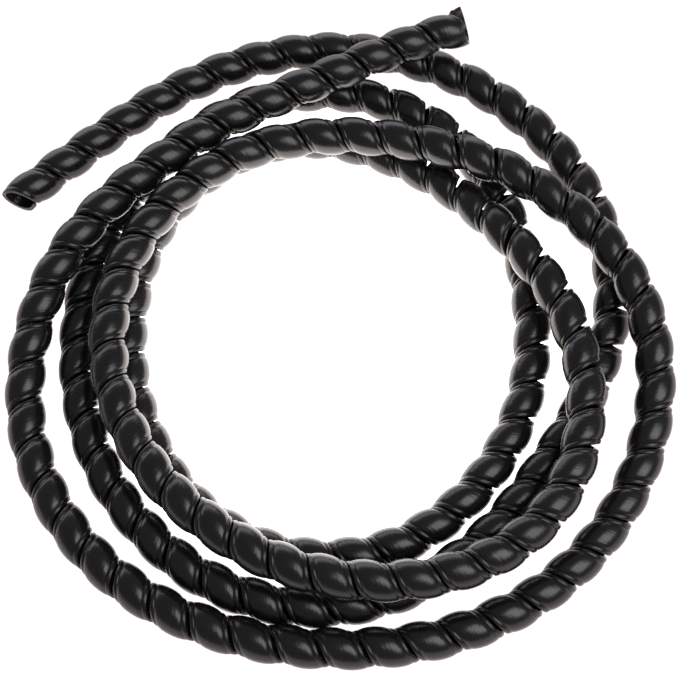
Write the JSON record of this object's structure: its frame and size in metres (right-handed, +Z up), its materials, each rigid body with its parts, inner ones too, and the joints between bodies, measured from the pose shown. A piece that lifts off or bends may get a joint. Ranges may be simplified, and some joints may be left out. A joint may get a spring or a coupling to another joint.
{
  "type": "spiral cable wrap",
  "caption": "Black plastic spiral cable wrap: a narrow strip wound into a tube, cut to length and laid down as a loose coil whose ends lie free.",
  "frame": {"origin": "Middle of the coil's footprint, on the floor that it lies on.", "axes": "+Z is up, through the coil's open middle. -Y points to the viewer of the picture, and +X to the right of it."},
  "size_m": [0.1984, 0.205, 0.0265],
  "materials": {
    "black_plastic": "satin"
  },
  "bodies": {
    "root": {"wrap_strip": "black_plastic"}
  },
  "joints": []
}
